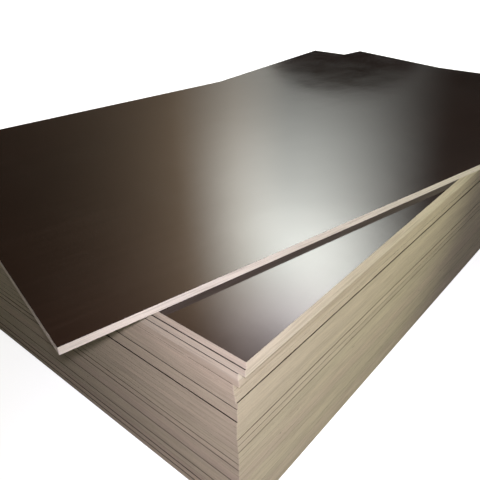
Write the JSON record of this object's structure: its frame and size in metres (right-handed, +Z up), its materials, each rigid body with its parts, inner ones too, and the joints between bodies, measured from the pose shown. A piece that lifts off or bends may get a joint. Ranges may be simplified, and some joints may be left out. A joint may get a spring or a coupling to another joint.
{
  "type": "stack of plywood sheets",
  "caption": "Stack of full-size film-faced plywood sheets lying flat, with a little stagger between sheets and the topmost sheet set askew.",
  "frame": {"origin": "centre of the lowest sheet's underside, on the floor", "axes": "+X along the sheets' length, +Y across their width, +Z up"},
  "size_m": [2.7796, 2.0386, 0.609],
  "materials": {
    "film_faced_plywood": "glossy dark-brown phenolic film on both faces, bare sawn cream veneer edges"
  },
  "bodies": {
    "root": {"sheet_01": "film_faced_plywood", "sheet_02": "film_faced_plywood", "sheet_03": "film_faced_plywood", "sheet_04": "film_faced_plywood", "sheet_05": "film_faced_plywood", "sheet_06": "film_faced_plywood", "sheet_07": "film_faced_plywood", "sheet_08": "film_faced_plywood", "sheet_09": "film_faced_plywood", "sheet_10": "film_faced_plywood", "sheet_11": "film_faced_plywood", "sheet_12": "film_faced_plywood", "sheet_13": "film_faced_plywood", "sheet_14": "film_faced_plywood", "sheet_15": "film_faced_plywood", "sheet_16": "film_faced_plywood", "sheet_17": "film_faced_plywood", "sheet_18": "film_faced_plywood", "sheet_19": "film_faced_plywood", "sheet_20": "film_faced_plywood", "sheet_21": "film_faced_plywood", "sheet_22": "film_faced_plywood", "sheet_23": "film_faced_plywood", "sheet_24": "film_faced_plywood", "sheet_25": "film_faced_plywood", "sheet_26": "film_faced_plywood", "sheet_27": "film_faced_plywood", "sheet_28": "film_faced_plywood", "top_sheet": "film_faced_plywood"}
  },
  "joints": []
}
